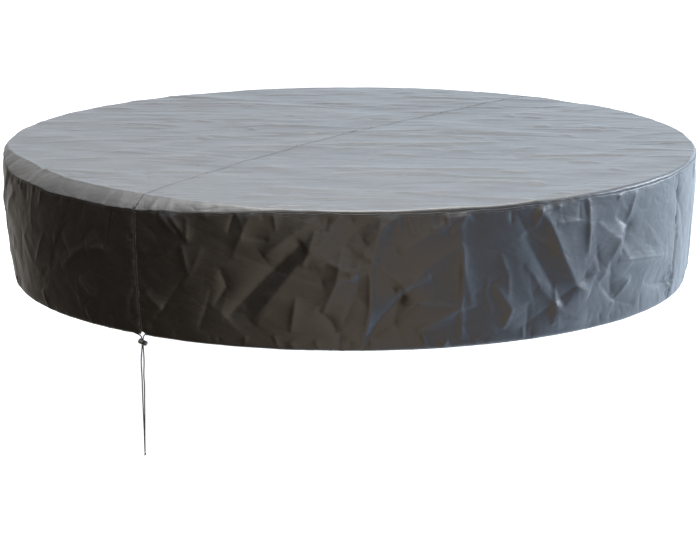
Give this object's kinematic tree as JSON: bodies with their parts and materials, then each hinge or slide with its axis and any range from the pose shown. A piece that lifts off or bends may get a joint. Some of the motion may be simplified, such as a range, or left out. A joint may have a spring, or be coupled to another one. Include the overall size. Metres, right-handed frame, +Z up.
{
  "type": "inflatable hot tub",
  "caption": "Round shallow inflatable tub with an inflatable lid under a fitted dark weather cover, its hem drawn in by a cord with a toggle and free-hanging tails.",
  "frame": {"origin": "centre of the tub's flat underside", "axes": "+Z up; -Y is the front, with the drawcord's toggle to the front left"},
  "size_m": [2.1, 2.1, 0.748],
  "materials": {
    "cover_fabric": "dark coated polyester, slight sheen",
    "cover_tape": "bound seam tape",
    "cord": "braided polyester cord",
    "grommet": "plated eyelet",
    "lock_barrel": "moulded, glossy",
    "lock_button": "moulded, satin",
    "spring_steel": "spring wire",
    "tub_outside": "laminated vinyl, dark grey",
    "tub_inside": "laminated vinyl, pale grey",
    "foam": "closed-cell foam",
    "fitting": "moulded polypropylene",
    "seal": "moulded rubber",
    "cap": "moulded polypropylene",
    "webbing": "woven webbing",
    "buckle": "moulded acetal",
    "lid_fabric": "coated polyester",
    "bladder": "clear grey vinyl"
  },
  "bodies": {
    "tub": {"base_sheet": "tub_outside", "floor_pad": "foam", "floor_liner": "tub_inside", "outer_wall": "tub_outside", "inner_wall": "tub_inside", "top_deck": "tub_inside", "wall_beams": "tub_inside", "weld_bands": "tub_outside", "bubble_ring": "fitting", "port_sleeves": "fitting", "port_flanges": "fitting", "port_gaskets": "seal", "drain_body": "fitting", "tub_valve_body": "fitting", "grab_handles": "webbing", "buckle_sockets": "buckle", "socket_webbing": "webbing"},
    "lid": {"lid_bottom_sheet": "lid_fabric", "lid_top_sheet": "lid_fabric", "lid_rim_band": "lid_fabric", "lid_zip": "lid_fabric", "bladder_bottom": "bladder", "bladder_top": "bladder", "bladder_rim": "bladder", "bladder_webs": "bladder", "lid_valve_body": "fitting", "lid_straps": "webbing", "buckle_tongues": "buckle"},
    "weather_cover": {"top_panel_left": "cover_fabric", "top_panel_right": "cover_fabric", "centre_seam_tape": "cover_tape", "perimeter_binding": "cover_tape", "skirt_front": "cover_fabric", "skirt_right": "cover_fabric", "skirt_back": "cover_fabric", "skirt_left": "cover_fabric", "skirt_seam_tapes": "cover_tape", "hem_tunnel": "cover_fabric", "hem_grommets": "grommet", "drawcord": "cord", "cord_tail_left": "cord", "cord_tail_right": "cord", "cord_knot": "cord"},
    "cord_lock": {"cord_lock_barrel": "lock_barrel", "cord_lock_spring": "spring_steel"},
    "cord_lock_button": {"cord_lock_plunger": "lock_button"},
    "inlet_cap": {"inlet_cap": "cap"},
    "air_cap": {"air_cap": "cap"},
    "outlet_cap": {"outlet_cap": "cap"},
    "inlet_screen": {"inlet_screen": "cap"},
    "outlet_screen": {"outlet_screen": "cap"},
    "drain_cap": {"drain_cap": "cap"},
    "tub_valve_cap": {"tub_valve_cap": "cap"},
    "lid_valve_cap": {"lid_valve_cap": "cap"}
  },
  "joints": [
    {"name": "lid_lift", "type": "slide", "parent": "tub", "child": "lid", "axis": [0, 0, 1], "range_m": [0, 0.5]},
    {"name": "cover_lift", "type": "slide", "parent": "lid", "child": "weather_cover", "axis": [0, 0, 1], "range_m": [0, 0.6]},
    {"name": "cord_lock_slide", "type": "slide", "parent": "weather_cover", "child": "cord_lock", "axis": [0, 0, -1], "range_m": [0, 0.28], "deforming": ["cord_tail_left", "cord_tail_right"]},
    {"name": "cord_lock_press", "type": "slide", "parent": "cord_lock", "child": "cord_lock_button", "axis": [-0.8051, 0.5554, 0.2079], "range_m": [0, 0.003], "stiffness_N_per_m": 1500, "springref_m": -0.002, "deforming": ["cord_lock_spring"]},
    {"name": "inlet_cap_turn", "type": "hinge", "parent": "tub", "child": "inlet_cap", "pos_m": [-0.08, 0.985, 0.09], "axis": [0, 1, 0], "continuous": true},
    {"name": "air_cap_turn", "type": "hinge", "parent": "tub", "child": "air_cap", "pos_m": [0, 0.985, 0.09], "axis": [0, 1, 0], "continuous": true},
    {"name": "outlet_cap_turn", "type": "hinge", "parent": "tub", "child": "outlet_cap", "pos_m": [0.08, 0.985, 0.09], "axis": [0, 1, 0], "continuous": true},
    {"name": "inlet_screen_turn", "type": "hinge", "parent": "tub", "child": "inlet_screen", "pos_m": [-0.08, 0.77, 0.09], "axis": [0, -1, 0], "range_deg": [0, 30]},
    {"name": "outlet_screen_turn", "type": "hinge", "parent": "tub", "child": "outlet_screen", "pos_m": [0.08, 0.77, 0.09], "axis": [0, -1, 0], "range_deg": [0, 30]},
    {"name": "drain_cap_turn", "type": "hinge", "parent": "tub", "child": "drain_cap", "pos_m": [-0.4925, 0.85303, 0.042], "axis": [-0.5, 0.866, 0], "continuous": true},
    {"name": "tub_valve_cap_turn", "type": "hinge", "parent": "tub", "child": "tub_valve_cap", "pos_m": [0.41628, 0.89271, 0.262], "axis": [0.4226, 0.9063, 0], "continuous": true},
    {"name": "lid_valve_cap_turn", "type": "hinge", "parent": "lid", "child": "lid_valve_cap", "pos_m": [-0.16323, 0.92572, 0.3773], "axis": [0, 0, 1], "continuous": true}
  ]
}
